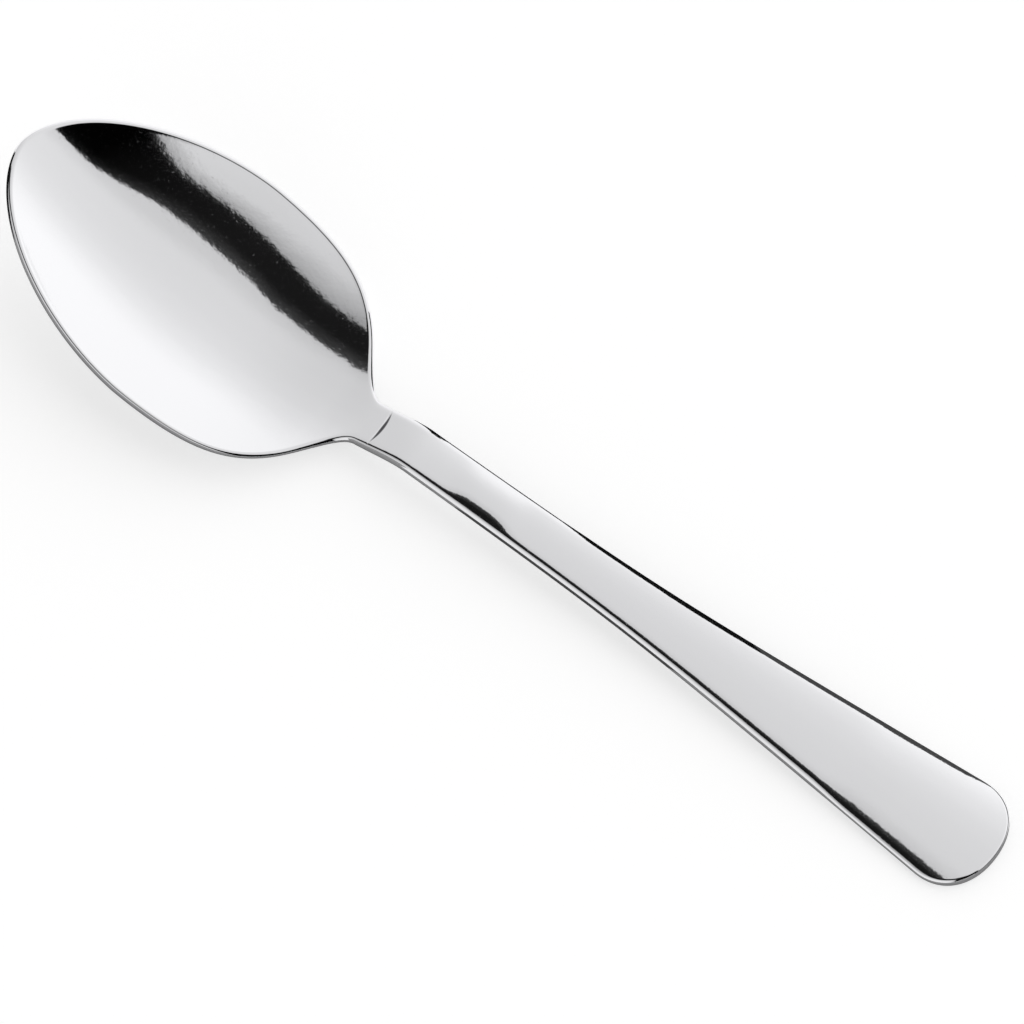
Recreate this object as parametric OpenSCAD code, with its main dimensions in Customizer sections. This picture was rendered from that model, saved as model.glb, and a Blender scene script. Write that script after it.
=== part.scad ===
// Serving spoon of polished stainless steel: a pressed bowl and a flared handle,
// which meet along a fine bowed line across the neck.
// The spoon lies along X as it rests on a table. The bowl's tip is at -X, the table
// is the plane Z = 0, and the origin is on the table under the middle of the length.
// Each piece is a sheet: a middle surface over the plan, half a thickness of metal on
// each side of it, and a round edge all the way along the outline. The handle's top face
// is crowned on top of that, so the handle is thicker in the middle than at its edges.

/* [Overall] */
// Length from the tip of the bowl to the end of the handle
spoon_length = 205; // [180:1:240]

/* [Bowl] */
// Length from the tip to the joint line at the neck
bowl_length = 77; // [72:0.5:84]
// Width of the bowl at its widest
bowl_width = 48.8; // [40:0.2:56]
// Distance from the tip to the widest place
bowl_widest_at = 38.4; // [34:0.1:44]
// Depth of the bowl below its rim
bowl_depth = 7.8; // [6:0.1:11]
// Distance from the tip to the deepest place
bowl_deepest_at = 40; // [34:0.5:48]
// Thickness of the bowl's metal
bowl_sheet = 1.4; // [0.8:0.1:2]
// Angle of the rim to the table, tip up
rim_tilt = 13.4; // [6:0.1:18]
// Roundness of the tip in plan: 2 is an ellipse, less is more pointed
tip_power = 1.78; // [1.5:0.01:2.4]
// Squareness of the bowl's heel in plan
heel_power = 4.6; // [3:0.1:6]
// Share of a plain parabola in the heel's curve, which keeps it round from the widest place on
heel_round = 0.3; // [0:0.05:0.6]
// Fullness of the hollow across the bowl: 2 is a parabola, more is flatter with steeper walls
across_power = 2; // [2:0.05:3]
// Fullness of the hollow from the deepest place to the tip
front_power = 3.2; // [2:0.1:4]
// Fullness of the hollow from the deepest place to the heel
back_power = 3.3; // [2:0.1:4]
// Gentleness with which the hollow runs out into the neck
run_out_power = 2.7; // [1.5:0.1:4]

/* [Neck] */
// Distance from the end of the heel's curve to the joint line
neck_stub = 3.7; // [2:0.1:6]
// Width at the joint line
neck_width = 9.1; // [7:0.1:14]
// Size of the hollow corners between the heel and the neck
neck_fillet = 8.4; // [4:0.1:12]
// Length before the joint line in which the rim starts to rise to the handle
rise_before = 10.4; // [6:0.1:16]
// Length after the joint line in which the rise ends
rise_after = 8.2; // [5:0.1:16]

/* [Joint line] */
// How far the joint line bows towards the handle
joint_bow = 0.35; // [0:0.05:1.5]
// Depth of the groove along the joint line, in the middle of each face
joint_groove = 0.2; // [0.05:0.01:0.4]
// Width of the groove on each side of the joint line
joint_groove_side = 0.2; // [0.1:0.01:0.4]
// Length on each side of the joint over which the bow dies out
joint_bow_run = 10; // [6:0.5:16]

/* [Handle] */
// Width of the handle where its rounded end starts
end_width = 21.2; // [16:0.1:28]
// Length of the rounded end
end_round = 9.8; // [6:0.1:16]
// Roundness of the end in plan: 2 is an ellipse, more is squarer
end_power = 2.1; // [1.8:0.01:3.5]
// Distance from the end of the handle to the middle of the flare
flare_from_end = 73.8; // [50:0.1:90]
// Length over which the parallel neck turns into the straight taper
flare_softness = 23.3; // [8:0.1:40]
// Thickness of the handle at its edges, up to the thinner end
handle_sheet = 2.1; // [1.4:0.1:3.2]
// Angle at which the handle comes down to the table
handle_slope = 3.1; // [1:0.1:5]
// Slope of the top face's gentle barrel at the shoulders
barrel_angle = 11; // [6:0.5:16]
// Length after the joint line in which the barrel grows to its full slope
barrel_run = 14; // [5:0.5:30]
// Slope of the top face where it turns over into the edge
shoulder_angle = 24; // [16:1:40]
// Tightness of the shoulders: 3 is wide and soft, more is narrower
shoulder_power = 14; // [6:0.5:18]
// Distance before the joint line at which the shoulders start
shoulder_before = 8.5; // [0:0.5:12]
// Length in which the shoulders grow to their full slope
shoulder_run = 9; // [5:0.5:20]
// Distance from the joint line to the rounder place behind the neck
swell_at = 22.5; // [14:0.5:30]
// Slope of the barrel at that place
swell_angle = 21.5; // [14:0.5:26]
// Length of that place on each side of its middle
swell_run = 6; // [3:0.5:12]
// Squareness of that place along the handle: 2 is a bell, more has a flatter top and steeper ends
swell_power = 4; // [2:0.5:6]
// Thickness at the edge of the handle's end
end_sheet = 1.4; // [1:0.1:2]
// Slope of the barrel at the handle's end
end_barrel_angle = 15.5; // [8:0.5:22]
// Distance from the end at which the edge starts to thin and the barrel to grow rounder
end_from = 34; // [24:0.5:50]
// Length in which they change
end_run = 9; // [5:0.5:20]

/* [Hidden] */
steel = [0.80, 0.81, 0.82];

// Facets: rows along each piece, strips across the sheet, steps round its edge
bowl_rows = 48;
handle_rows = 44;
strips = 16;
edge_steps = 6;
// Step for slopes of the middle surface, in mm, and along the outline, as a share of a piece
slope_step = 0.02;
outline_step = 0.01;
// Step at which the lowest place of the bowl is looked for, in mm
probe_step = 0.25;

joint_x = bowl_length;
heel_x = bowl_length - neck_stub;
rise_start = joint_x - rise_before;
rise_end = joint_x + rise_after;
end_x = spoon_length - end_round;
flare_x = spoon_length - flare_from_end;
flare_gain = (end_width - neck_width) / 2 / (flare(end_x) - flare(joint_x));
// The rim is as high as it has to be for the underside of the bowl to touch the table
rim_drop = tan(rim_tilt);
tip_z = bowl_sheet / 2 + max([for (x = [0:probe_step:rise_start]) depth(x) + rim_drop * x]);

function mix(a, b, t) = a + (b - a) * t;
function smoothstep(t) = let (u = min(max(t, 0), 1)) u * u * (3 - 2 * u);
// The larger of two widths, with a fillet of size k where they cross
function smooth_max(a, b, k) = max(a, b) + pow(max(k - abs(a - b), 0), 2) / (4 * k);
function unit(v) = v / norm(v);
function mirrored(p) = [p.x, -p.y, p.z];

// Plan outline, as half widths over the distance x from the tip
function tip_share(x) = pow(1 - pow(1 - x / bowl_widest_at, tip_power), 1 / tip_power);
function heel_share(x) = let (e = (x - bowl_widest_at) / (heel_x - bowl_widest_at))
    1 - mix(pow(e, heel_power), e * e, heel_round);
function bowl_half(x) = bowl_width / 2 * (x < bowl_widest_at ? tip_share(x) : heel_share(x));
// One branch of a hyperbola: flat before the flare, a straight taper after it
function flare(x) = let (d = x - flare_x) (d + sqrt(d * d + flare_softness * flare_softness)) / 2;
function strip_half(x) = neck_width / 2 + flare_gain * (flare(x) - flare(joint_x));
function end_share(x) = let (e = min(max(x - end_x, 0) / end_round, 1))
    pow(1 - pow(e, end_power), 1 / end_power);
function half_width(x) = x < bowl_widest_at
    ? bowl_half(x)
    : smooth_max(bowl_half(x), strip_half(x) * end_share(x), neck_fillet);

// Middle surface: the edge line, less the hollow of the bowl
function rise(x) = smoothstep((x - rise_start) / (rise_end - rise_start));
function rim_z(x) = tip_z - rim_drop * x;
function strip_z(x) = end_sheet / 2 + tan(handle_slope) * (spoon_length - end_sheet / 2 - x);
function edge_z(x) = mix(rim_z(x), strip_z(x), rise(x));
function depth(x) = bowl_depth * (
    x < bowl_deepest_at
    ? 1 - pow(1 - x / bowl_deepest_at, front_power)
    : pow(1 - pow(min((x - bowl_deepest_at) / (joint_x - bowl_deepest_at), 1), back_power), run_out_power));
function hollow(x, y) = depth(x) * (1 - pow(abs(y) / half_width(x), across_power));
// Crown of the top face: a gentle barrel, rounder at the swell and at the end, with tight shoulders
function swell(x) = exp(-pow(abs(x - joint_x - swell_at) / swell_run, swell_power));
function ending(x) = smoothstep((x - spoon_length + end_from) / end_run);
function barrel(x) = mix(
    mix(tan(barrel_angle), tan(end_barrel_angle), ending(x)) * smoothstep((x - joint_x) / barrel_run),
    tan(swell_angle),
    swell(x));
function shoulder(x) = tan(shoulder_angle) * smoothstep((x - joint_x + shoulder_before) / shoulder_run);
function crown(x, y) = let (
    w = max(strip_half(x), half_width(x)) - half_sheet(x),
    v = abs(y) / w,
    b = barrel(x))
    w * (b / 2 * (1 - v * v) + (shoulder(x) - b) / shoulder_power * (1 - pow(v, shoulder_power)));
// The middle surface under the top face carries the crown (1), under the other face it doesn't (0)
function sheet_z(x, y, crowned) = edge_z(x) - hollow(x, y) + crowned * crown(x, y);
function sheet_normal(x, y, crowned) = unit([
    sheet_z(x - slope_step, y, crowned) - sheet_z(x + slope_step, y, crowned),
    sheet_z(x, y - slope_step, crowned) - sheet_z(x, y + slope_step, crowned),
    2 * slope_step]);

function half_sheet(x) = mix(mix(bowl_sheet, handle_sheet, rise(x)), end_sheet, ending(x)) / 2;
// Groove where the pieces meet, which runs out towards both edges (v = -1 and 1)
function groove(x, v) = joint_groove * max(0, 1 - abs(x - joint_x) / joint_groove_side) * (1 - v * v);

// Stations: t runs from 0 at the tip over 1 at the joint to 2 at the end,
// and the rows crowd together at all three
function ease(t) = (1 - cos(180 * t)) / 2;
function station(t) = t < 1 ? joint_x * ease(t) : mix(joint_x, spoon_length, ease(t - 1));
function outline(t) = let (x = station(t)) [x, half_width(x)];
function outline_out(t) = let (
    a = outline(max(t - outline_step, 0)),
    b = outline(min(t + outline_step, 2)),
    along = unit(b - a))
    t <= 0 ? [-1, 0] : t >= 2 ? [1, 0] : [-along.y, along.x];
// The edge's centre line lies half a thickness inside the outline
function edge_plan(t) = let (p = outline(t)) p - outline_out(t) * half_sheet(p.x);
function edge_point(t) = let (p = edge_plan(t)) [p.x, p.y, sheet_z(p.x, p.y, 0)];
function edge_along(t) = t <= 0 ? [0, 1, 0]
    : t >= 2 ? [0, -1, 0]
    : unit(edge_point(min(t + outline_step, 2)) - edge_point(max(t - outline_step, 0)));

// Arc round the edge at station t, from the slope of the top face to the underside. At the
// end of the handle the crown runs out into the edge, and the arc is as much higher there.
function edge_arc(t, first, last) = let (
    p = edge_plan(t),
    r = half_sheet(station(t)),
    lift = max(crown(p.x, p.y), 0) / 2,
    up = sheet_normal(p.x, p.y, 0),
    out = unit(cross(up, edge_along(t))),
    face = sheet_normal(p.x, p.y, 1),
    start = atan2(r * (face * out), (r + lift) * (face * up)),
    centre = edge_point(t) + [0, 0, lift])
    [for (k = [first:last]) let (a = mix(start, 180, k / edge_steps))
        centre + (r + lift) * cos(a) * up + r * sin(a) * out];

// One closed ring: across the top, round one edge, back along the underside, round the other
function bow(x) = joint_bow * smoothstep(1 - abs(x - joint_x) / joint_bow_run);
function across(t, side) = let (
    p = edge_plan(t),
    crowned = side > 0 ? 1 : 0)
    [for (j = [0:strips]) let (
        v = 2 * j / strips - 1,
        x = p.x + bow(p.x) * (1 - v * v),
        y = v * p.y,
        r = half_sheet(station(t)) - groove(station(t), v))
        [x, y, sheet_z(x, y, crowned)] + side * r * sheet_normal(x, y, crowned)];
function reversed(list) = [for (i = [len(list) - 1:-1:0]) list[i]];
function ring(t) = let (arc = edge_arc(t, 1, edge_steps - 1)) concat(
    across(t, 1),
    arc,
    reversed(across(t, -1)),
    reversed([for (p = arc) mirrored(p)]));

// Which point of the half circle at a rounded tip a ring's point j runs to
function tip_point(j) =
    j <= strips ? 0
    : j < strips + edge_steps ? j - strips
    : j <= 2 * strips + edge_steps ? edge_steps
    : 2 * (strips + edge_steps) - j;

// Solid through rings: closed by a half circle before the first and a flat face at the last
module sheet_piece(tip, rings, flip) {
    count = 2 * (strips + edge_steps);
    last = len(rings) - 1;
    function at(i, j) = len(tip) + i * count + j % count;
    function under(j) = 2 * strips + edge_steps - j;
    tip_faces = [for (j = [0:count - 1]) let (a = tip_point(j), b = tip_point((j + 1) % count))
        each a == b
        ? [[at(0, j), at(0, j + 1), a]]
        : [[at(0, j), at(0, j + 1), b], [at(0, j), b, a]]];
    side_faces = [for (i = [0:last - 1], j = [0:count - 1]) each [
        [at(i + 1, j), at(i + 1, j + 1), at(i, j + 1)],
        [at(i + 1, j), at(i, j + 1), at(i, j)]]];
    joint_strip = [for (j = [0:strips - 1]) each [
        [at(last, j + 1), at(last, j), at(last, under(j))],
        [at(last, j + 1), at(last, under(j)), at(last, under(j + 1))]]];
    joint_ends = [for (k = [1:edge_steps - 1]) each [
        [at(last, strips + k), at(last, strips), at(last, strips + k + 1)],
        [at(last, 0), at(last, count - k), at(last, count - k - 1)]]];
    faces = concat(tip_faces, side_faces, joint_strip, joint_ends);
    translate([-spoon_length / 2, 0, 0])
        polyhedron(
            points = concat(tip, [for (r = rings) each r]),
            faces = flip ? [for (f = faces) reversed(f)] : faces);
}

module bowl() {
    color(steel)
        sheet_piece(
            edge_arc(0, 0, edge_steps),
            [for (i = [1:bowl_rows]) ring(i / bowl_rows)],
            false);
}

module handle() {
    color(steel)
        sheet_piece(
            edge_arc(2, 0, edge_steps),
            [for (i = [1:handle_rows]) ring(2 - i / handle_rows)],
            true);
}

bowl();
handle();
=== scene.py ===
"""Serving spoon of polished stainless steel, on a pale floor in a light tent.

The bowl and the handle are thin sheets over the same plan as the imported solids, worked out
as fine smooth surfaces. x is the distance from the bowl's tip along the spoon, y the distance
from its middle line and z the height over the table, all in metres.
"""

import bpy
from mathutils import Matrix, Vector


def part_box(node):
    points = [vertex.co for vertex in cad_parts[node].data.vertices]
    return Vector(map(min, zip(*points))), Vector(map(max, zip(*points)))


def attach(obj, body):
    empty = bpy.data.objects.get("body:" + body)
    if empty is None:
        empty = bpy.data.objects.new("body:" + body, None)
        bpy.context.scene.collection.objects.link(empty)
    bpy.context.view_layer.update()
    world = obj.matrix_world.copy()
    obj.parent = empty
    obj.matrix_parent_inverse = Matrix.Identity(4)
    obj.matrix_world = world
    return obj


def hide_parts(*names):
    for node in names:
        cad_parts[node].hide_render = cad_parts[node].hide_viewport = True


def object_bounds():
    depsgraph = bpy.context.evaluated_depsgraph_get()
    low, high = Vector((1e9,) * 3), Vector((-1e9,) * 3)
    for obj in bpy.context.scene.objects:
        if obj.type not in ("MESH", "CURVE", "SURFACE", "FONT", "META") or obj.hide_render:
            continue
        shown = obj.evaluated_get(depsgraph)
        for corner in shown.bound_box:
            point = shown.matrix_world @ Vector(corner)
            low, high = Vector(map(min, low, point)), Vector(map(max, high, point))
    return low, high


bl_info = {
    "name": "Serving spoon",
    "version": (1, 0, 0),
    "blender": (4, 5, 0),
    "location": "View3D > Sidebar > Spoon",
    "description": "Makes a polished steel serving spoon and the studio that it lies in",
    "category": "Add Mesh",
}

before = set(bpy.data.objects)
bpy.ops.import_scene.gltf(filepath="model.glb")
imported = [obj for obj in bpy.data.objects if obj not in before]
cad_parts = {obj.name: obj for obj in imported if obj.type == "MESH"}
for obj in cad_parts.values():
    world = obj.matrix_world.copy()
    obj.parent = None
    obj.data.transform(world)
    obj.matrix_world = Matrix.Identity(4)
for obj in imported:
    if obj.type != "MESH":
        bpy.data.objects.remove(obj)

import bmesh
import bpy
import numpy as np
from bpy.props import FloatProperty, FloatVectorProperty, PointerProperty, StringProperty
from mathutils import Matrix, Vector

MM = 0.001
CAD_BOX = [list(corner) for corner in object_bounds()]
LOW, HIGH = (Vector(corner) for corner in CAD_BOX)
BOWL_LOW, BOWL_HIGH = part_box("bowl")

# Fineness of the two meshes: rows along a piece, strips across it, and an odd number of
# steps round its edge
BOWL_ROWS = 220
BOWL_STRIPS = 112
HANDLE_ROWS = 280
HANDLE_STRIPS = 72
EDGE_STEPS = 15
# Places along the bowl among which its lowest one is sought
LOWEST_TRIES = 400
# Steps for slopes: of a surface, in metres, and of the outline, as a share of a piece
SLOPE_STEP = 0.02 * MM
OUTLINE_STEP = 0.004
# Points closer than this are one point, where a ring of the mesh shrinks to a rounded tip
MERGE = 1e-8
# Width of the camera's sensor in mm, which takes in the whole width of the picture, and the
# camera's reach in metres, well past the floor's corners
SENSOR = 36.0
CAMERA_REACH = 100.0
# Brightness of the tent's cloth, as a share of its brightest, over the sine of the angle from
# straight up: the far side is -1, overhead 0 and the near side 1
CLOTH = (
    (-1.0, 1.0),
    (-0.9, 1.0),
    (-0.82, 0.965),
    (-0.707, 0.865),
    (-0.574, 0.783),
    (-0.42, 0.736),
    (-0.26, 0.714),
    (-0.087, 0.69),
    (0.035, 0.61),
    (0.3, 0.63),
    (0.6, 0.66),
    (0.75, 0.8),
    (1.0, 0.86),
)
# The dark slot's two edges: angles towards the near side over angles along the spoon, in degrees
# from straight up
SLOT_FAR_EDGE = (
    (-66, 2),
    (-50, 1),
    (-35, 0),
    (-20, 2),
    (0, 4.2),
    (10, 4.2),
    (27, 8.5),
    (45, 3.5),
    (90, 4),
)
SLOT_NEAR_EDGE = (
    (-66, 13),
    (-30, 17),
    (0, 22.4),
    (20, 24),
    (35, 27),
    (50, 33),
    (60, 37.5),
    (90, 40),
)
# Two flags by the points along them: x and y of the foot, and x, y and height of the top edge, in
# mm. The black one runs along the handle's far side, and the grey one goes on round its end
FLAG = (
    (-25, 13, -25, 40, 12),
    (-24, 13, -24, 40, 34),
    (-20, 13, -20, 40, 34),
    (-18, 24, -18, 40, 14),
    (6, 24, 6, 40, 16),
    (12, 12, 12, 40, 32),
    (32, 12, 32, 40, 35),
    (47, 12, 47, 40, 29),
)
END_FLAG = (
    (47, 12, 47, 40, 29),
    (72, 12, 72, 40, 24),
    (87, 13, 87, 40, 19),
    (93, 15, 93, 40, 8),
    (112, 10, 126, 26, 6),
    (118, -8, 136, -8, 6),
)
# Height of the flags' feet over the floor
FLAG_LIFT = 0.3 * MM


class SpoonSizes(bpy.types.PropertyGroup):
    """Sizes of the spoon"""

    spoon_length: FloatProperty(
        name="Spoon length",
        description="From the tip of the bowl to the end of the handle",
        default=HIGH.x - LOW.x,
        unit="LENGTH",
    )
    bowl_length: FloatProperty(
        name="Bowl length",
        description="From the tip of the bowl to the joint line at the neck",
        default=77 * MM,
        unit="LENGTH",
    )
    bowl_width: FloatProperty(
        name="Bowl width",
        description="Width of the bowl at its widest",
        default=BOWL_HIGH.y - BOWL_LOW.y,
        unit="LENGTH",
    )
    bowl_widest_at: FloatProperty(
        name="Widest place",
        description="From the tip to the widest place of the bowl",
        default=38.4 * MM,
        unit="LENGTH",
    )
    bowl_depth: FloatProperty(
        name="Bowl depth",
        description="Depth of the bowl below its rim",
        default=7.8 * MM,
        unit="LENGTH",
    )
    bowl_deepest_at: FloatProperty(
        name="Deepest place",
        description="From the tip to the deepest place of the bowl",
        default=40 * MM,
        unit="LENGTH",
    )
    bowl_sheet: FloatProperty(
        name="Bowl sheet",
        description="Thickness of the bowl's metal",
        default=1.4 * MM,
        unit="LENGTH",
    )
    rim_tilt: FloatProperty(
        name="Rim tilt",
        description="Angle of the rim to the table, tip up",
        default=np.radians(13.4),
        subtype="ANGLE",
    )
    tip_power: FloatProperty(
        name="Tip roundness",
        description="Roundness of the tip in plan: 2 is an ellipse, less is more pointed",
        default=1.78,
    )
    heel_power: FloatProperty(
        name="Heel squareness",
        description="Squareness of the bowl's heel in plan",
        default=4.6,
    )
    heel_round: FloatProperty(
        name="Heel roundness",
        description="Share of a plain parabola in the heel's curve in plan",
        default=0.3,
        subtype="FACTOR",
    )
    across_power: FloatProperty(
        name="Fullness across",
        description="Fullness of the hollow across the bowl: 2 is a parabola",
        default=2,
    )
    front_power: FloatProperty(
        name="Fullness in front",
        description="Fullness of the hollow from the deepest place to the tip",
        default=3.2,
    )
    back_power: FloatProperty(
        name="Fullness behind",
        description="Fullness of the hollow from the deepest place to the heel",
        default=3.3,
    )
    run_out_power: FloatProperty(
        name="Run-out",
        description="Gentleness with which the hollow runs out into the neck",
        default=2.7,
    )
    neck_stub: FloatProperty(
        name="Neck stub",
        description="From the end of the heel's curve to the joint line",
        default=3.7 * MM,
        unit="LENGTH",
    )
    neck_width: FloatProperty(
        name="Neck width",
        description="Width at the joint line",
        default=9.1 * MM,
        unit="LENGTH",
    )
    neck_fillet: FloatProperty(
        name="Neck fillet",
        description="Size of the hollow corners between the heel and the neck",
        default=8.4 * MM,
        unit="LENGTH",
    )
    rise_before: FloatProperty(
        name="Rise before the joint",
        description="Length before the joint line in which the rim starts to rise to the handle",
        default=10.4 * MM,
        unit="LENGTH",
    )
    rise_after: FloatProperty(
        name="Rise after the joint",
        description="Length after the joint line in which the rise ends",
        default=8.2 * MM,
        unit="LENGTH",
    )
    joint_bow: FloatProperty(
        name="Joint bow",
        description="How far the joint line bows towards the handle",
        default=0.35 * MM,
        unit="LENGTH",
    )
    joint_groove: FloatProperty(
        name="Joint groove",
        description="Depth of the groove along the joint line, in the middle of each face",
        default=0.2 * MM,
        unit="LENGTH",
    )
    joint_groove_side: FloatProperty(
        name="Joint groove side",
        description="Width of the groove on each side of the joint line",
        default=0.2 * MM,
        unit="LENGTH",
    )
    joint_bow_run: FloatProperty(
        name="Joint bow run",
        description="Length on each side of the joint over which the bow dies out",
        default=10 * MM,
        unit="LENGTH",
    )
    end_width: FloatProperty(
        name="End width",
        description="Width of the handle where its rounded end starts",
        default=21.2 * MM,
        unit="LENGTH",
    )
    end_round: FloatProperty(
        name="End length",
        description="Length of the handle's rounded end",
        default=9.8 * MM,
        unit="LENGTH",
    )
    end_power: FloatProperty(
        name="End roundness",
        description="Roundness of the end in plan: 2 is an ellipse, more is squarer",
        default=2.1,
    )
    flare_from_end: FloatProperty(
        name="Flare from the end",
        description="From the end of the handle to the middle of the flare",
        default=73.8 * MM,
        unit="LENGTH",
    )
    flare_softness: FloatProperty(
        name="Flare softness",
        description="Length over which the parallel neck turns into the straight taper",
        default=23.3 * MM,
        unit="LENGTH",
    )
    handle_sheet: FloatProperty(
        name="Handle edge",
        description="Thickness of the handle at its edges, up to the thinner end",
        default=2.1 * MM,
        unit="LENGTH",
    )
    handle_slope: FloatProperty(
        name="Handle slope",
        description="Angle at which the handle comes down to the table",
        default=np.radians(3.1),
        subtype="ANGLE",
    )
    barrel_angle: FloatProperty(
        name="Barrel angle",
        description="Slope of the top face's gentle barrel at the shoulders",
        default=np.radians(11),
        subtype="ANGLE",
    )
    barrel_run: FloatProperty(
        name="Barrel run",
        description="Length after the joint line in which the barrel grows to its full slope",
        default=14 * MM,
        unit="LENGTH",
    )
    shoulder_angle: FloatProperty(
        name="Shoulder angle",
        description="Slope of the top face where it turns over into the edge",
        default=np.radians(24),
        subtype="ANGLE",
    )
    shoulder_power: FloatProperty(
        name="Shoulder tightness",
        description="Tightness of the shoulders: 3 is wide and soft, more is narrower",
        default=14,
    )
    shoulder_before: FloatProperty(
        name="Shoulder start",
        description="Distance before the joint line at which the shoulders start",
        default=8.5 * MM,
        unit="LENGTH",
    )
    shoulder_run: FloatProperty(
        name="Shoulder run",
        description="Length in which the shoulders grow to their full slope",
        default=9 * MM,
        unit="LENGTH",
    )
    swell_at: FloatProperty(
        name="Swell place",
        description="From the joint line to the rounder place behind the neck",
        default=22.5 * MM,
        unit="LENGTH",
    )
    swell_angle: FloatProperty(
        name="Swell angle",
        description="Slope of the barrel at the rounder place behind the neck",
        default=np.radians(21.5),
        subtype="ANGLE",
    )
    swell_run: FloatProperty(
        name="Swell run",
        description="Length of the rounder place on each side of its middle",
        default=6 * MM,
        unit="LENGTH",
    )
    swell_power: FloatProperty(
        name="Swell squareness",
        description="Squareness of the swell along the handle: 2 is a bell, more is flatter on top",
        default=4,
    )
    end_sheet: FloatProperty(
        name="End edge",
        description="Thickness at the edge of the handle's end",
        default=1.4 * MM,
        unit="LENGTH",
    )
    end_barrel_angle: FloatProperty(
        name="End barrel angle",
        description="Slope of the barrel at the handle's end",
        default=np.radians(15.5),
        subtype="ANGLE",
    )
    end_from: FloatProperty(
        name="End part",
        description="From the end to where the edge starts to thin and the barrel to grow rounder",
        default=34 * MM,
        unit="LENGTH",
    )
    end_run: FloatProperty(
        name="End run",
        description="Length in which the edge thins and the barrel grows rounder",
        default=9 * MM,
        unit="LENGTH",
    )


class SteelFinish(bpy.types.PropertyGroup):
    """Finish of the steel"""

    steel_colour: StringProperty(
        name="Steel",
        description="sRGB hex colour of the polished steel",
        default="#F0F0F2",
    )
    steel_roughness: FloatProperty(
        name="Roughness",
        description="Roughness of the mirror polish between the flecks",
        default=0.06,
        subtype="FACTOR",
    )
    wave_size: FloatProperty(
        name="Wave size",
        description="Size of the shallow waves that the polishing wheel leaves",
        default=2.2 * MM,
        unit="LENGTH",
    )
    wave_height: FloatProperty(
        name="Wave height",
        description="Height of the shallow waves",
        default=0.014 * MM,
        unit="LENGTH",
    )
    grain_size: FloatProperty(
        name="Grain size",
        description="Size of the fine grain in the polish",
        default=0.5 * MM,
        unit="LENGTH",
    )
    grain_height: FloatProperty(
        name="Grain height",
        description="Height of the fine grain",
        default=0.003 * MM,
        unit="LENGTH",
    )
    fleck_size: FloatProperty(
        name="Fleck size",
        description="Size of the duller flecks in the polish",
        default=0.45 * MM,
        unit="LENGTH",
    )
    fleck_from: FloatProperty(
        name="Fleck level",
        description="Level of the noise above which a fleck starts; higher makes them rarer",
        default=0.61,
        subtype="FACTOR",
    )
    fleck_to: FloatProperty(
        name="Fleck core level",
        description="Level of the noise at which a fleck is dullest",
        default=0.76,
        subtype="FACTOR",
    )
    fleck_roughness: FloatProperty(
        name="Fleck roughness",
        description="Roughness in the middle of a fleck",
        default=0.2,
        subtype="FACTOR",
    )
    seam_colour: StringProperty(
        name="Seam",
        description="sRGB hex colour of the dull steel in the joint line",
        default="#555558",
    )
    seam_side: FloatProperty(
        name="Seam side",
        description="Width of the dull line on each side of the joint, in the middle of the face",
        default=0.36 * MM,
        unit="LENGTH",
    )
    seam_reach: FloatProperty(
        name="Seam reach",
        description="From the middle line to the places where the dull line runs out",
        default=3.7 * MM,
        unit="LENGTH",
    )


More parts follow.
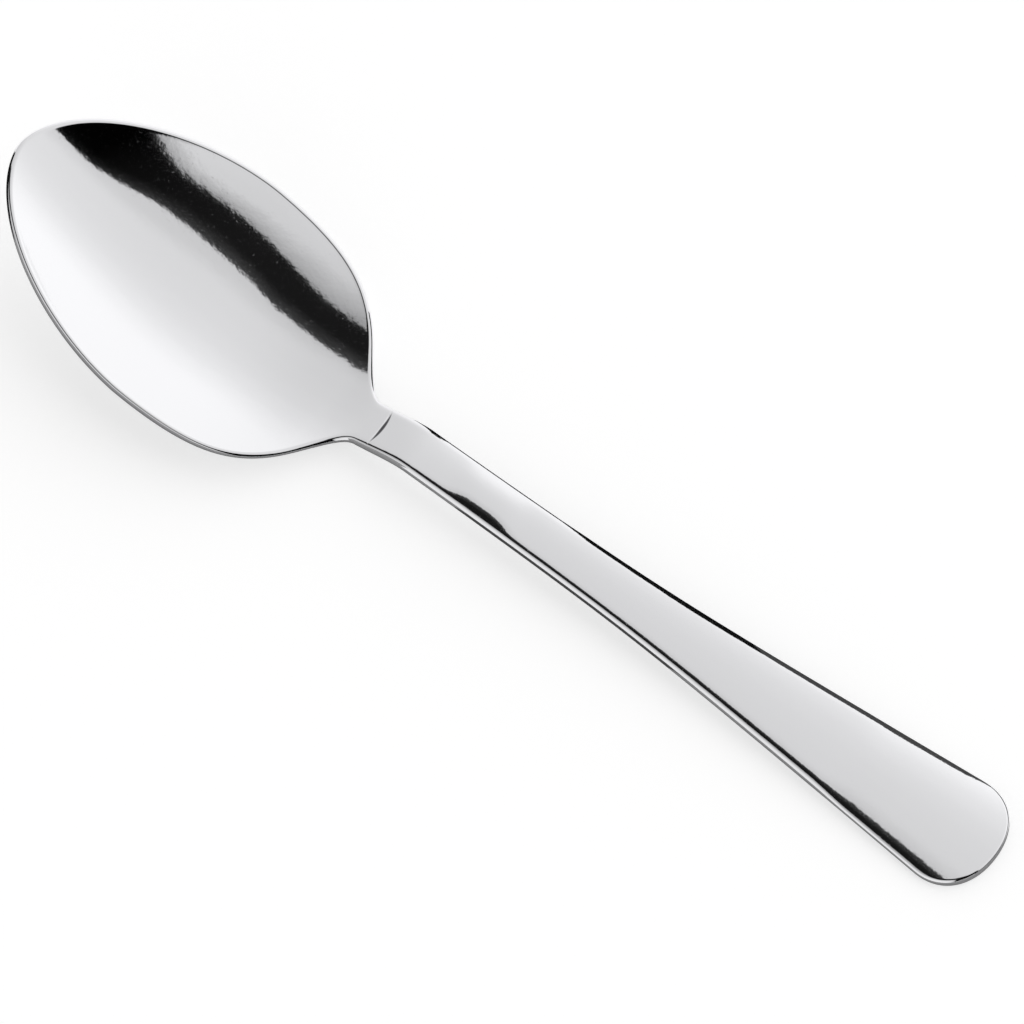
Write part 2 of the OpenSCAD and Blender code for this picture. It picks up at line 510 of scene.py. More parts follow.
class StudioSetup(bpy.types.PropertyGroup):
    """Camera, floor and light tent"""

    camera_azimuth: FloatProperty(
        name="Camera azimuth",
        description="Angle of the camera round the spoon, from the near side towards the handle",
        default=np.radians(20.756),
        subtype="ANGLE",
    )
    camera_elevation: FloatProperty(
        name="Camera elevation",
        description="Angle of the camera over the table",
        default=np.radians(64.54),
        subtype="ANGLE",
    )
    camera_roll: FloatProperty(
        name="Camera roll",
        description="Angle by which the camera is turned about its line of sight",
        default=np.radians(15.18),
        subtype="ANGLE",
    )
    camera_distance: FloatProperty(
        name="Camera distance",
        description="From the camera to the point that it aims at",
        default=2.5,
        unit="LENGTH",
    )
    camera_lens: FloatProperty(
        name="Camera lens",
        description="Focal length in millimetres on a 36 mm sensor",
        default=517.69,
    )
    camera_aim: FloatVectorProperty(
        name="Camera aim",
        description="Point in the middle of the picture",
        default=(1.623 * MM, -0.049 * MM, 8 * MM),
        subtype="TRANSLATION",
    )
    floor_colour: StringProperty(
        name="Floor",
        description="sRGB hex colour of the floor",
        default="#C8C8C8",
    )
    floor_lift: FloatProperty(
        name="Floor lift",
        description="Glow that makes the floor white to the eye and in the steel; its shadows stay",
        default=0.64,
        subtype="FACTOR",
    )
    floor_size: FloatProperty(
        name="Floor size",
        description="Side of the square floor",
        default=12,
        unit="LENGTH",
    )
    tent_light: FloatProperty(
        name="Tent light",
        description="Brightness of the tent's cloth where it is brightest",
        default=1.07,
    )
    tent_lean: FloatProperty(
        name="Tent lean",
        description="How much brighter the tent is towards the end of the handle",
        default=0.085,
    )
    slot_soft: FloatProperty(
        name="Slot softness",
        description="Half the angle over which the slot's edges fade",
        default=np.radians(0.6),
        subtype="ANGLE",
    )
    slot_haze: FloatProperty(
        name="Slot haze",
        description="Brightness of the room at the slot's far edge",
        default=0.04,
        subtype="FACTOR",
    )
    haze_reach: FloatProperty(
        name="Haze reach",
        description="Angle from the slot's far edge over which the haze dies out",
        default=np.radians(8),
        subtype="ANGLE",
    )
    slot_dark: FloatProperty(
        name="Slot dark",
        description="Brightness of the room behind the haze",
        default=0.0085,
        subtype="FACTOR",
    )
    fade_from: FloatProperty(
        name="Fade start",
        description="Angle along the spoon from which the room grows blacker",
        default=np.radians(15),
        subtype="ANGLE",
    )
    fade_to: FloatProperty(
        name="Fade end",
        description="Angle along the spoon at which the room is blackest",
        default=np.radians(50),
        subtype="ANGLE",
    )
    fade_share: FloatProperty(
        name="Fade share",
        description="Share of its light that the room keeps where it is blackest",
        default=0.05,
        subtype="FACTOR",
    )
    slot_halo: FloatProperty(
        name="Slot halo",
        description="Share of its light that the cloth keeps at the slot's near edge",
        default=0.56,
        subtype="FACTOR",
    )
    halo_wide: FloatProperty(
        name="Halo width",
        description="Angle over which the halo fades, over the middle of the spoon",
        default=np.radians(12),
        subtype="ANGLE",
    )
    halo_narrow: FloatProperty(
        name="Halo end width",
        description="Angle over which the halo fades, past the end of the handle",
        default=np.radians(5.5),
        subtype="ANGLE",
    )
    halo_end: FloatProperty(
        name="Halo end",
        description="Sine of the angle along the spoon at which the halo is narrowest",
        default=0.35,
    )
    tip_flag_low: FloatVectorProperty(
        name="Tip flag's low corner",
        description="Corner of the black flag past the bowl's tip, on the floor at the near side",
        default=(-116 * MM, -34 * MM, 0.3 * MM),
        subtype="TRANSLATION",
    )
    tip_flag_high: FloatVectorProperty(
        name="Tip flag's high corner",
        description="Opposite corner of the black flag past the tip, off the floor at the far side",
        default=(-130 * MM, 2 * MM, 36 * MM),
        subtype="TRANSLATION",
    )
    flag_colour: StringProperty(
        name="Black felt",
        description="sRGB hex colour of the black flags",
        default="#151515",
    )
    end_flag_colour: StringProperty(
        name="Dark felt",
        description="sRGB hex colour of the grey flag round the handle's end",
        default="#5E5E5E",
    )
    screen_low: FloatVectorProperty(
        name="Screen's low corner",
        description="Corner of the grey screen in front of the bowl, on the floor past its tip",
        default=(-170 * MM, -27 * MM, 0.3 * MM),
        subtype="TRANSLATION",
    )
    screen_high: FloatVectorProperty(
        name="Screen's high corner",
        description="Opposite corner of the grey screen, off the floor by the neck",
        default=(-25 * MM, -80 * MM, 59 * MM),
        subtype="TRANSLATION",
    )
    # The mat is painted shade: a pale grey sheet on the floor under and round the spoon, which the
    # camera skips, so that the steel shows the floor there darker
    shade_mat_low: FloatVectorProperty(
        name="Mat's near corner",
        description="Corner of the pale grey mat, past the tip on the near side",
        default=(-170 * MM, -90 * MM, 0.1 * MM),
        subtype="TRANSLATION",
    )
    shade_mat_high: FloatVectorProperty(
        name="Mat's far corner",
        description="Corner of the pale grey mat, past the end of the handle",
        default=(130 * MM, 8 * MM, 0.1 * MM),
        subtype="TRANSLATION",
    )
    # One pale grey for the screen's felt and for the mat's painted shade
    pale_felt_and_shade_colour: StringProperty(
        name="Pale felt",
        description="sRGB hex colour of the screen and the mat",
        default="#B0B0B0",
    )
    # The strip is darker painted shade: a grey sheet on the mat under the handle's front half and out
    # on its near side, which the camera skips
    shade_strip_low: FloatVectorProperty(
        name="Strip's near corner",
        description="Corner of the grey strip on the mat, in front of the swell",
        default=(-8 * MM, -90 * MM, 0.2 * MM),
        subtype="TRANSLATION",
    )
    shade_strip_high: FloatVectorProperty(
        name="Strip's far corner",
        description="Corner of the grey strip on the mat, behind the middle of the handle",
        default=(38 * MM, 8 * MM, 0.2 * MM),
        subtype="TRANSLATION",
    )
    # The strip's grey is painted shade of the floor under the handle
    shade_strip_colour: StringProperty(
        name="Grey felt",
        description="sRGB hex colour of the strip",
        default="#606060",
    )


def linear(hex_colour):
    """An sRGB hex colour as linear red, green, blue and alpha: below 0.04045 a straight line,
    above it a power of 2.4."""
    srgb = np.array([int(hex_colour[i:i + 2], 16) for i in (1, 3, 5)]) / 255
    rgb = np.where(srgb <= 0.04045, srgb / 12.92, ((srgb + 0.055) / 1.055) ** 2.4)
    return (*rgb.tolist(), 1.0)


def add(tree, kind, inputs=None, **settings):
    """Adds a node, sets its settings, and sets or links each of its inputs. A node given as an
    input is linked from its first output."""
    node = tree.nodes.new(kind)
    for name, value in settings.items():
        setattr(node, name, value)
    for socket, value in (inputs or {}).items():
        if isinstance(value, bpy.types.Node):
            value = value.outputs[0]
        if isinstance(value, bpy.types.NodeSocket):
            tree.links.new(value, node.inputs[socket])
        else:
            node.inputs[socket].default_value = value
    return node


def mix(a, b, share):
    """A straight mix: a at share 0, b at share 1."""
    return a + (b - a) * share


def smoothstep(t):
    """A cubic ramp that leaves 0 and reaches 1 level."""
    u = np.clip(t, 0, 1)
    return u * u * (3 - 2 * u)


def unit(v):
    """Vectors along the last axis, each divided by its length."""
    return v / np.linalg.norm(v, axis=-1, keepdims=True)


class SpoonForm:
    """The spoon as a sheet: a middle surface over the plan, with half a thickness on each side."""

    def __init__(self, sizes):
        self.s = sizes
        self.heel_x = sizes.bowl_length - sizes.neck_stub
        self.rise_start = sizes.bowl_length - sizes.rise_before
        self.rise_end = sizes.bowl_length + sizes.rise_after
        self.end_x = sizes.spoon_length - sizes.end_round
        self.flare_x = sizes.spoon_length - sizes.flare_from_end
        widening = self.flare(self.end_x) - self.flare(sizes.bowl_length)
        self.flare_gain = (sizes.end_width - sizes.neck_width) / 2 / widening
        self.rim_drop = np.tan(sizes.rim_tilt)
        # The rim is as high as it has to be for the underside of the bowl to touch the table
        x = np.linspace(0, self.rise_start, LOWEST_TRIES)
        self.tip_z = sizes.bowl_sheet / 2 + np.max(self.depth(x) + self.rim_drop * x)

    def flare(self, x):
        """One branch of a hyperbola: level before the flare, a straight taper after it."""
        d = x - self.flare_x
        return (d + np.sqrt(d * d + self.s.flare_softness ** 2)) / 2

    def strip_half(self, x):
        """Half the handle's width: half the neck's, widened along the flare."""
        widening = self.flare(x) - self.flare(self.s.bowl_length)
        return self.s.neck_width / 2 + self.flare_gain * widening

    def half_width(self, x):
        """Half the width in plan: a superellipse from the tip to the widest place, 1 less a mix of
        a power and a square from there to the heel, and past that the larger of the heel and the
        handle, with a fillet where they cross. The handle's end is a superellipse again."""
        s = self.s
        ahead = np.clip(1 - x / s.bowl_widest_at, 0, 1)
        behind = np.maximum(x - s.bowl_widest_at, 0) / (self.heel_x - s.bowl_widest_at)
        front = s.bowl_width / 2 * (1 - ahead ** s.tip_power) ** (1 / s.tip_power)
        heel = s.bowl_width / 2 * (1 - mix(behind ** s.heel_power, behind ** 2, s.heel_round))
        end = np.clip((x - self.end_x) / s.end_round, 0, 1)
        strip = self.strip_half(x) * (1 - end ** s.end_power) ** (1 / s.end_power)
        overlap = np.maximum(s.neck_fillet - np.abs(heel - strip), 0)
        back = np.maximum(heel, strip) + overlap ** 2 / (4 * s.neck_fillet)
        return np.where(x < s.bowl_widest_at, front, back)

    def rise(self, x):
        """How far the edge has risen from the bowl's rim, 0, to the handle, 1."""
        return smoothstep((x - self.rise_start) / (self.rise_end - self.rise_start))

    def edge_z(self, x):
        """Height of the edge: the rim's straight fall, mixed into the handle's gentle one."""
        s = self.s
        rim = self.tip_z - self.rim_drop * x
        half = s.end_sheet / 2
        strip = half + np.tan(s.handle_slope) * (s.spoon_length - half - x)
        return mix(rim, strip, self.rise(x))

    def depth(self, x):
        """Depth of the hollow on the middle line: 1 less a power on the way to the tip, and on the
        way to the neck a power of 1 less a power, so that it runs out level."""
        s = self.s
        ahead = np.clip(1 - x / s.bowl_deepest_at, 0, 1)
        behind = np.clip((x - s.bowl_deepest_at) / (s.bowl_length - s.bowl_deepest_at), 0, 1)
        front = 1 - ahead ** s.front_power
        back = (1 - behind ** s.back_power) ** s.run_out_power
        return s.bowl_depth * np.where(x < s.bowl_deepest_at, front, back)

    def ending(self, x):
        """How far the handle has changed into its thinner, rounder end: 0 before it, 1 on it."""
        return smoothstep((x - self.s.spoon_length + self.s.end_from) / self.s.end_run)

    def half_sheet(self, x):
        """Half the thickness, which grows from the bowl's to the handle's along the rise, and thins
        again at the handle's end."""
        sheet = mix(self.s.bowl_sheet, self.s.handle_sheet, self.rise(x))
        return mix(sheet, self.s.end_sheet, self.ending(x)) / 2

    def groove(self, x, v):
        """Depth of the V groove where the pieces meet, which runs out towards both edges, v = -1
        and v = 1, as a parabola."""
        s = self.s
        share = np.maximum(0, 1 - np.abs(x - s.bowl_length) / s.joint_groove_side)
        return s.joint_groove * share * (1 - v * v)

    def crown(self, x, y):
        """Height of the handle's crowned top face: a parabola for the gentle barrel, which is rounder
        at the swell behind the neck and at the end, and 1 less a high power for the shoulders. The
        slopes of the two add up to the shoulder's own slope at the edge."""
        s = self.s
        swell = np.exp(-(np.abs(x - s.bowl_length - s.swell_at) / s.swell_run) ** s.swell_power)
        along = mix(np.tan(s.barrel_angle), np.tan(s.end_barrel_angle), self.ending(x))
        along = along * smoothstep((x - s.bowl_length) / s.barrel_run)
        barrel = mix(along, np.tan(s.swell_angle), swell)
        grown = smoothstep((x - s.bowl_length + s.shoulder_before) / s.shoulder_run)
        shoulder = np.tan(s.shoulder_angle) * grown - barrel
        half = np.maximum(self.strip_half(x), self.half_width(x)) - self.half_sheet(x)
        v = np.abs(y) / half
        power = s.shoulder_power
        return half * (barrel / 2 * (1 - v * v) + shoulder / power * (1 - v ** power))

    def sheet_z(self, x, y, crowned):
        """Height of the middle surface: the edge, less the hollow of the bowl, which is a power
        across, plus the crown under the top face."""
        # The width is kept off zero at the tip and at the end
        width = np.maximum(self.half_width(x), SLOPE_STEP)
        hollow = self.depth(x) * (1 - (np.abs(y) / width) ** self.s.across_power)
        return self.edge_z(x) - hollow + crowned * self.crown(x, y)

    def normal(self, x, y, crowned):
        """Unit normal of the middle surface, from its slopes over a short step."""
        d = SLOPE_STEP
        down_x = self.sheet_z(x - d, y, crowned) - self.sheet_z(x + d, y, crowned)
        down_y = self.sheet_z(x, y - d, crowned) - self.sheet_z(x, y + d, crowned)
        return unit(np.stack([down_x, down_y, np.full_like(down_x, 2 * d)], axis=-1))

    def station(self, t):
        """x at a station: 0 is the tip, 1 the joint, 2 the end, and rows crowd at all three."""
        s = self.s
        ease = (1 - np.cos(np.pi * np.mod(t, 1))) / 2
        last = (1 - np.cos(np.pi * (t - 1))) / 2
        on_handle = mix(s.bowl_length, s.spoon_length, last)
        return np.where(t < 1, s.bowl_length * ease, on_handle)

    def edge_plan(self, t):
        """Plan of the edge's centre line: the outline, moved half a thickness inwards."""
        a, b = np.clip(t - OUTLINE_STEP, 0, 2), np.clip(t + OUTLINE_STEP, 0, 2)
        xa, xb = self.station(a), self.station(b)
        along = unit(np.stack([xb - xa, self.half_width(xb) - self.half_width(xa)], axis=-1))
        out = np.stack([-along[..., 1], along[..., 0]], axis=-1)
        out = np.where(t[..., None] <= 0, [-1.0, 0.0], out)
        out = np.where(t[..., None] >= 2, [1.0, 0.0], out)
        x = self.station(t)
        return np.stack([x, self.half_width(x)], axis=-1) - out * self.half_sheet(x)[..., None]

    def edge_point(self, t):
        """The edge's centre line in space."""
        plan = self.edge_plan(t)
        z = self.sheet_z(plan[..., 0], plan[..., 1], 0)
        return np.concatenate([plan, z[..., None]], axis=-1)

    def edge_arc(self, t):
        """Rounded edge at each station, from the slope of the top face to the underside: an arc
        about the edge's centre line, raised by half the crown where the crown runs into the edge."""
        p = self.edge_plan(t)
        r = self.half_sheet(self.station(t))[:, None]
        lift = np.maximum(self.crown(p[:, 0], p[:, 1]), 0)[:, None] / 2
        up = self.normal(p[:, 0], p[:, 1], 0)
        ahead = self.edge_point(np.clip(t + OUTLINE_STEP, 0, 2))
        behind = self.edge_point(np.clip(t - OUTLINE_STEP, 0, 2))
        along = np.where(t[:, None] <= 0, [0.0, 1.0, 0.0], ahead - behind)
        along = np.where(t[:, None] >= 2, [0.0, -1.0, 0.0], along)
        out = unit(np.cross(up, along))
        face = self.normal(p[:, 0], p[:, 1], 1)
        start = np.arctan2(
            r * np.sum(face * out, axis=-1, keepdims=True),
            (r + lift) * np.sum(face * up, axis=-1, keepdims=True),
        )
        angle = mix(start, np.pi, np.arange(1, EDGE_STEPS) / EDGE_STEPS)[..., None]
        centre = self.edge_point(t) + lift * [0.0, 0.0, 1.0]
        rising = (r + lift)[..., None] * np.cos(angle) * up[:, None, :]
        return centre[:, None, :] + rising + r[..., None] * np.sin(angle) * out[:, None, :]

    def face_row(self, t, strips, side):
        """Rows of points across one face: the middle surface at each station, bowed towards the
        handle near the joint, moved half a thickness, less the groove, along its normal."""
        s = self.s
        p = self.edge_plan(t)
        v = np.linspace(-1, 1, strips + 1)[None, :]
        bow = s.joint_bow * smoothstep(1 - np.abs(p[:, :1] - s.bowl_length) / s.joint_bow_run)
        x = p[:, :1] + bow * (1 - v * v)
        y = p[:, 1:] * v
        crowned = 1 if side > 0 else 0
        z = self.sheet_z(x, y, crowned)
        at = self.station(t)[:, None]
        half = self.half_sheet(at) - self.groove(at, v)
        return np.stack([x, y, z], axis=-1) + side * half[..., None] * self.normal(x, y, crowned)

    def rings(self, t, strips):
        """Closed rings at the stations: across the top, round one edge, back along the underside
        and round the other edge. The plan is moved to the middle of the length."""
        arc = self.edge_arc(t)
        top = self.face_row(t, strips, 1)
        under = self.face_row(t, strips, -1)
        other = arc[:, ::-1] * [1.0, -1.0, 1.0]
        ring = np.concatenate([top, arc, under[:, ::-1], other], axis=1)
        return ring - [self.s.spoon_length / 2, 0.0, 0.0]


def ring_faces(rows, strips):
    """Corners of the quads: round the rings from row to row, and across the last ring between its
    top and underside and over each rounded edge."""
    count = 2 * (strips + EDGE_STEPS)
    i, j = np.meshgrid(np.arange(rows - 1), np.arange(count), indexing="ij")
    after = (j + 1) % count
    row, next_row = i * count, (i + 1) * count
    sides = np.stack([next_row + j, next_row + after, row + after, row + j], axis=-1)
    last = (rows - 1) * count
    k = np.arange(-(EDGE_STEPS // 2), strips + EDGE_STEPS // 2)
    over = (2 * strips + EDGE_STEPS - k) % count
    cap = last + np.stack([(k + 1) % count, k % count, over, (over - 1) % count], axis=-1)
    return sides.reshape(-1, 4), cap


def spoon_piece(name, stations, strips, material):
    """Makes one closed piece from its tip or end, where the rings shrink to a half circle, to the
    joint, smooth all over but for the flat face there."""
    form = SpoonForm(bpy.context.scene.spoon_sizes)
    points = form.rings(stations, strips)
    sides, cap = ring_faces(len(stations), strips)
    faces = np.concatenate([sides, cap])
    if stations[0] > stations[-1]:
        faces = faces[:, ::-1]
    mesh = bpy.data.meshes.new(name)
    mesh.from_pydata(points.reshape(-1, 3), [], faces)
    flat = np.arange(len(faces)) >= len(sides)
    mesh.polygons.foreach_set("use_smooth", ~flat)
    shell = bmesh.new()
    shell.from_mesh(mesh)
    bmesh.ops.remove_doubles(shell, verts=shell.verts, dist=MERGE)
    open_edges = [edge for edge in shell.edges if len(edge.link_faces) != 2]
    shell.to_mesh(mesh)
    shell.free()
    if open_edges:
        raise RuntimeError(f"{name} isn't closed: {len(open_edges)} open edges")
    mesh.materials.append(material)
    piece = bpy.data.objects.new(name, mesh)
    bpy.context.scene.collection.objects.link(piece)
    return piece


def polished_steel():
    """Stainless steel, pressed and mirror polished: a neutral grey metal that shows its
    surroundings, with edges of reflections made ragged by the wheel's shallow waves and grain,
    faint duller flecks, and a dull grey line where the bowl and the handle meet, which the wheel
    doesn't reach."""
    finish = bpy.context.scene.spoon_finish
    sizes = bpy.context.scene.spoon_sizes
    name = "polished stainless steel"
    if name in bpy.data.materials:
        return bpy.data.materials[name]
    steel = bpy.data.materials.new(name)
    steel.use_nodes = True
    tree = steel.node_tree
    tree.nodes.clear()
    place = add(tree, "ShaderNodeTexCoord").outputs["Object"]
    waves = add(
        tree,
        "ShaderNodeTexNoise",
        {"Vector": place, "Scale": 1 / finish.wave_size, "Detail": 2.0, "Roughness": 0.5},
    )
    wavy = add(
        tree,
        "ShaderNodeBump",
        {"Height": waves, "Strength": 1.0, "Distance": finish.wave_height},
    )
    grain = add(
        tree,
        "ShaderNodeTexNoise",
        {"Vector": place, "Scale": 1 / finish.grain_size, "Detail": 1.0, "Roughness": 0.5},
    )
    grained = add(
        tree,
        "ShaderNodeBump",
        {"Height": grain, "Strength": 1.0, "Distance": finish.grain_height, "Normal": wavy},
    )
    # Dust and hairline scratches scatter a little light into the dark reflections. The real ones
    # are finer than a tenth of a millimetre, and are drawn coarser here
    flecks = add(
        tree,
        "ShaderNodeTexNoise",
        {"Vector": place, "Scale": 1 / finish.fleck_size, "Detail": 2.0, "Roughness": 0.6},
    )
    roughness = add(
        tree,
        "ShaderNodeMapRange",
        {
            "Value": flecks,
            "From Min": finish.fleck_from,
            "From Max": finish.fleck_to,
            "To Min": finish.steel_roughness,
            "To Max": finish.fleck_roughness,
        },
    )
    # The joint line is a parabola across the neck, and the dull line on it narrows like one
    axes = add(tree, "ShaderNodeSeparateXYZ", {"Vector": place}).outputs
    square = add(tree, "ShaderNodeMath", {0: axes["Y"], 1: axes["Y"]}, operation="MULTIPLY")
    joint_x, joint_half = SpoonForm(sizes).edge_plan(np.ones(1))[0]
    bend = sizes.joint_bow / joint_half ** 2
    top = joint_x - sizes.spoon_length / 2 + sizes.joint_bow
    bent = add(tree, "ShaderNodeMath", {0: square, 1: bend, 2: -top}, operation="MULTIPLY_ADD")
    off = add(tree, "ShaderNodeMath", {0: axes["X"], 1: bent}, operation="ADD")
    away = add(tree, "ShaderNodeMath", {0: off}, operation="ABSOLUTE")
    narrowing = -finish.seam_side / finish.seam_reach ** 2
    side = add(
        tree,
        "ShaderNodeMath",
        {0: square, 1: narrowing, 2: finish.seam_side},
        operation="MULTIPLY_ADD",
    )
    inside = add(tree, "ShaderNodeMath", {0: side, 1: away}, operation="SUBTRACT")
    dull = add(
        tree,
        "ShaderNodeMapRange",
        {"Value": inside, "From Min": 0.0, "From Max": finish.seam_side / 2},
    )
    colour = add(
        tree,
        "ShaderNodeMix",
        {"Factor": dull, "A": linear(finish.steel_colour), "B": linear(finish.seam_colour)},
        data_type="RGBA",
    )
    shader = add(
        tree,
        "ShaderNodeBsdfPrincipled",
        {
            "Base Color": colour.outputs["Result"],
            "Metallic": 1.0,
            "Roughness": roughness,
            "Normal": grained,
        },
    )
    add(tree, "ShaderNodeOutputMaterial", {"Surface": shader})
    return steel


class SPOON_OT_bowl(bpy.types.Operator):
    """Makes the bowl, from its tip to the joint line at the neck"""

    bl_idname = "spoon.bowl"
    bl_label = "Make the bowl"

    def execute(self, context):
        stations = np.linspace(0, 1, BOWL_ROWS)
        bowl = spoon_piece("spoon_bowl", stations, BOWL_STRIPS, polished_steel())
        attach(bowl, "root")
        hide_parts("bowl")
        return {"FINISHED"}


class SPOON_OT_handle(bpy.types.Operator):
    """Makes the handle, from its rounded end to the joint line at the neck"""

    bl_idname = "spoon.handle"
    bl_label = "Make the handle"

    def execute(self, context):
        stations = np.linspace(2, 1, HANDLE_ROWS)
        handle = spoon_piece("spoon_handle", stations, HANDLE_STRIPS, polished_steel())
        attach(handle, "root")
        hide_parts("handle")
        return {"FINISHED"}


def light_tent(setup):
    """World of a light tent: cloth that is brightest low on the far side and greyest overhead, with
    a dark slot along the spoon that the camera looks through. The slot lies between two angles
    towards the near side, which change with the angle along the spoon."""
    world = bpy.data.worlds.new("light tent")
    world.use_nodes = True
    tree = world.node_tree
    tree.nodes.clear()
    place = add(tree, "ShaderNodeTexCoord").outputs["Generated"]
    axes = add(tree, "ShaderNodeSeparateXYZ", {"Vector": place}).outputs
    near = add(tree, "ShaderNodeMath", {0: axes["Y"], 1: -1.0}, operation="MULTIPLY")
    angle = add(tree, "ShaderNodeMath", {0: near}, operation="ARCSINE")
    along = add(tree, "ShaderNodeMath", {0: axes["X"], 1: axes["Z"]}, operation="ARCTAN2")
    far_points, near_points = np.radians(SLOT_FAR_EDGE), np.radians(SLOT_NEAR_EDGE)
    curves = []
    for value, points in ((near, CLOTH), (along, far_points), (along, near_points)):
        first, last = points[0][0], points[-1][0]
        share = add(tree, "ShaderNodeMapRange", {"Value": value, "From Min": first, "From Max": last})
        curve = add(tree, "ShaderNodeValToRGB", {"Fac": share})
        curve.color_ramp.interpolation = "CARDINAL"
        stops = curve.color_ramp.elements
        # A ramp starts with two stops, and the others go between them until each gets its place
        while len(stops) < len(points):
            stops.new(0.5)
        for stop, (at, level) in zip(stops, points):
            stop.position = (at - first) / (last - first)
            stop.color = (level, level, level, 1)
        curves.append(curve)
    cloth, far_edge, near_edge = curves
    lit = add(
        tree,
        "ShaderNodeMath",
        {0: axes["X"], 1: setup.tent_lean, 2: cloth},
        operation="MULTIPLY_ADD",
    )
    past_near = add(tree, "ShaderNodeMath", {0: angle, 1: near_edge}, operation="SUBTRACT")
    past_far = add(tree, "ShaderNodeMath", {0: angle, 1: far_edge}, operation="SUBTRACT")
    # The halo narrows towards the end of the handle
    reach = add(
        tree,
        "ShaderNodeMapRange",
        {
            "Value": axes["X"],
            "From Min": 0.0,
            "From Max": setup.halo_end,
            "To Min": setup.halo_wide,
            "To Max": setup.halo_narrow,
        },
    )
    halo = add(
        tree,
        "ShaderNodeMapRange",
        {"Value": past_near, "From Min": 0.0, "From Max": reach, "To Min": setup.slot_halo},
    )
    # The halo lies on the near side of the slot only
    beyond = add(tree, "ShaderNodeMath", {0: past_near, 1: 0.0}, operation="GREATER_THAN")
    shaded = add(tree, "ShaderNodeMath", {0: lit, 1: halo}, operation="MULTIPLY")
    around = add(tree, "ShaderNodeMix", {"Factor": beyond, "A": lit, "B": shaded})
    # The room behind the slot is hazy at the far edge and blackest past the end of the handle
    haze = add(
        tree,
        "ShaderNodeMapRange",
        {
            "Value": past_far,
            "From Min": 0.0,
            "From Max": setup.haze_reach,
            "To Min": setup.slot_haze,
            "To Max": setup.slot_dark,
        },
        interpolation_type="SMOOTHSTEP",
    )
    fade = add(
        tree,
        "ShaderNodeMapRange",
        {
            "Value": along,
            "From Min": setup.fade_from,
            "From Max": setup.fade_to,
            "To Min": 1.0,
            "To Max": setup.fade_share,
        },
    )
    room = add(tree, "ShaderNodeMath", {0: haze, 1: fade}, operation="MULTIPLY")
    short_of_near = add(tree, "ShaderNodeMath", {0: past_near, 1: -1.0}, operation="MULTIPLY")
    between = add(tree, "ShaderNodeMath", {0: past_far, 1: short_of_near}, operation="MINIMUM")
    begin = float(far_points[0][0])
    begun = add(tree, "ShaderNodeMath", {0: along, 1: begin}, operation="SUBTRACT")
    inside = add(tree, "ShaderNodeMath", {0: between, 1: begun}, operation="MINIMUM")
    slot = add(
        tree,
        "ShaderNodeMapRange",
        {"Value": inside, "From Min": -setup.slot_soft, "From Max": setup.slot_soft},
        interpolation_type="SMOOTHSTEP",
    )
    seen = add(tree, "ShaderNodeMix", {"Factor": slot, "A": around, "B": room})
    light = add(tree, "ShaderNodeBackground", {"Color": seen, "Strength": setup.tent_light})
    add(tree, "ShaderNodeOutputWorld", {"Surface": light})
    return world


def pale_floor(setup):
    """Matt pale board. To the eye, and in the steel, it is lifted to white and keeps its shadows."""
    board = bpy.data.materials.new("matt white board")
    board.use_nodes = True
    tree = board.node_tree
    tree.nodes.clear()
    matt = add(tree, "ShaderNodeBsdfDiffuse", {"Color": linear(setup.floor_colour)})
    path = add(tree, "ShaderNodeLightPath").outputs
    direct = add(
        tree,
        "ShaderNodeMath",
        {0: path["Is Camera Ray"], 1: path["Is Glossy Ray"]},
        operation="MAXIMUM",
    )
    shown = add(
        tree,
        "ShaderNodeMath",
        {0: direct, 1: path["Is Transmission Ray"]},
        operation="MAXIMUM",
    )
    lift = add(tree, "ShaderNodeMath", {0: shown, 1: setup.floor_lift}, operation="MULTIPLY")
    glow = add(tree, "ShaderNodeEmission", {"Strength": lift})
    both = add(tree, "ShaderNodeAddShader", {0: matt, 1: glow})
    add(tree, "ShaderNodeOutputMaterial", {"Surface": both})
    return board


def matt_felt(name, colour):
    """Felt over a studio card: one even colour with no shine, which the steel's edges show as a dark
    or grey line. On the mat and the strip the colour is painted shade of the floor round the spoon."""
    felt = bpy.data.materials.new(name)
    felt.use_nodes = True
    tree = felt.node_tree
    tree.nodes.clear()
    matt = add(tree, "ShaderNodeBsdfDiffuse", {"Color": linear(colour)})
    add(tree, "ShaderNodeOutputMaterial", {"Surface": matt})
    return felt


def stage_board(name, foot, top, material):
    """A board of the stage: a strip of quads between two lines of as many points."""
    count = len(foot)
    k = np.arange(count - 1)
    quads = np.stack([k, k + 1, k + 1 + count, k + count], axis=-1)
    mesh = bpy.data.meshes.new(name)
    mesh.from_pydata(np.concatenate([foot, top]), [], quads)
    mesh.materials.append(material)
    board = bpy.data.objects.new(name, mesh)
    bpy.context.scene.collection.objects.link(board)
    return board


def felt_flag(name, points, material):
    """A flag of the stage: a board from its foot, just off the floor, up to its top edge."""
    rows = np.array(points) * MM
    foot = np.column_stack([rows[:, :2], np.full(len(rows), FLAG_LIFT)])
    return stage_board(name, foot, rows[:, 2:], material)


def flat_board(name, low, high, material):
    """A rectangular board of the stage between two opposite corners, lying or leaning along X."""
    (xa, ya, za), (xb, yb, zb) = low, high
    return stage_board(name, [(xa, ya, za), (xb, ya, za)], [(xa, yb, zb), (xb, yb, zb)], material)


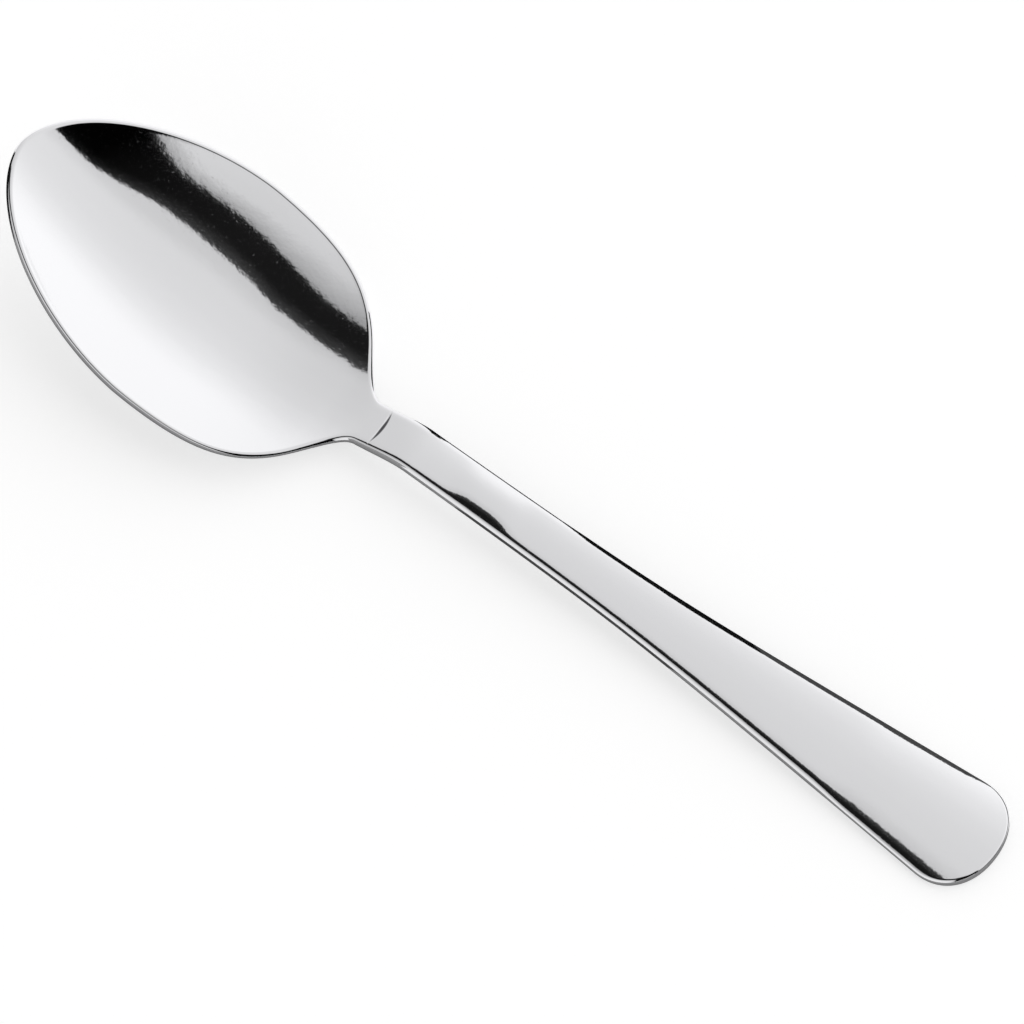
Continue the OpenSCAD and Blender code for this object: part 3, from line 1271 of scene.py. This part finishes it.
class SPOON_OT_stage(bpy.types.Operator):
    """Lays the floor, puts up the tent and the boards that the steel shows, and sets the camera"""

    bl_idname = "spoon.stage"
    bl_label = "Set the stage"

    def execute(self, context):
        setup = context.scene.spoon_studio
        half = setup.floor_size / 2
        flat_board("floor", (-half, -half, 0), (half, half, 0), pale_floor(setup))
        # These boards are there for the steel to show, and the camera skips them. The mat and the
        # strip on it are painted shade: they darken the floor round the spoon as the steel shows it
        black = matt_felt("black felt", setup.flag_colour)
        grey = matt_felt("grey felt", setup.shade_strip_colour)
        pale = matt_felt("pale felt", setup.pale_felt_and_shade_colour)
        dark = matt_felt("dark felt", setup.end_flag_colour)
        flag = felt_flag("flag", FLAG, black)
        end_flag = felt_flag("end_flag", END_FLAG, dark)
        (xa, ya, za), (xb, yb, zb) = setup.tip_flag_low, setup.tip_flag_high
        tip_foot = [(xa, ya, za), (xa, yb, za)]
        tip_top = [(xb, ya, zb), (xb, yb, zb)]
        tip_flag = stage_board("tip_flag", tip_foot, tip_top, black)
        screen = flat_board("screen", setup.screen_low, setup.screen_high, pale)
        # Painted shade of the floor round the spoon, seen only in the steel
        mat = flat_board("mat", setup.shade_mat_low, setup.shade_mat_high, pale)
        # Darker painted shade of the floor under the handle, seen only in the steel
        strip = flat_board("strip", setup.shade_strip_low, setup.shade_strip_high, grey)
        for board in (flag, end_flag, tip_flag, screen, mat, strip):
            board.visible_camera = False
            board.visible_diffuse = False
            board.visible_shadow = False
        context.scene.world = light_tent(setup)
        context.scene.view_settings.view_transform = "Standard"
        aim = Vector(setup.camera_aim)
        level = np.cos(setup.camera_elevation)
        back = Vector((
            level * np.sin(setup.camera_azimuth),
            -level * np.cos(setup.camera_azimuth),
            np.sin(setup.camera_elevation),
        ))
        right = Vector((0, 0, 1)).cross(back).normalized()
        axes = Matrix((right, back.cross(right), back)).transposed()
        roll = Matrix.Rotation(setup.camera_roll, 3, "Z")
        data = bpy.data.cameras.new("camera")
        data.sensor_width = SENSOR
        data.lens = setup.camera_lens
        data.clip_end = CAMERA_REACH
        camera = bpy.data.objects.new("camera", data)
        eye = aim + back * setup.camera_distance
        camera.matrix_world = Matrix.Translation(eye) @ (axes @ roll).to_4x4()
        context.scene.collection.objects.link(camera)
        context.scene.camera = camera
        return {"FINISHED"}


class SPOON_PT_sidebar(bpy.types.Panel):
    """Lists the spoon's sizes, finish and studio, and the operators that make them"""

    bl_idname = "SPOON_PT_sidebar"
    bl_label = "Serving spoon"
    bl_space_type = "VIEW_3D"
    bl_region_type = "UI"
    bl_category = "Spoon"

    def draw(self, context):
        for operator in OPERATORS:
            self.layout.operator(operator.bl_idname)
        for group_name in GROUPS:
            group = getattr(context.scene, group_name)
            box = self.layout.box()
            for name in group.__annotations__:
                box.prop(group, name)


GROUPS = {"spoon_sizes": SpoonSizes, "spoon_finish": SteelFinish, "spoon_studio": StudioSetup}
OPERATORS = (SPOON_OT_bowl, SPOON_OT_handle, SPOON_OT_stage)
CLASSES = (*GROUPS.values(), *OPERATORS, SPOON_PT_sidebar)


def register():
    for cls in CLASSES:
        bpy.utils.register_class(cls)
    for name, group in GROUPS.items():
        setattr(bpy.types.Scene, name, PointerProperty(type=group))


def unregister():
    for name in GROUPS:
        delattr(bpy.types.Scene, name)
    for cls in reversed(CLASSES):
        bpy.utils.unregister_class(cls)


def main():
    register()
    bpy.ops.spoon.bowl()
    bpy.ops.spoon.handle()
    bpy.ops.spoon.stage()


if __name__ == "__main__":
    main()
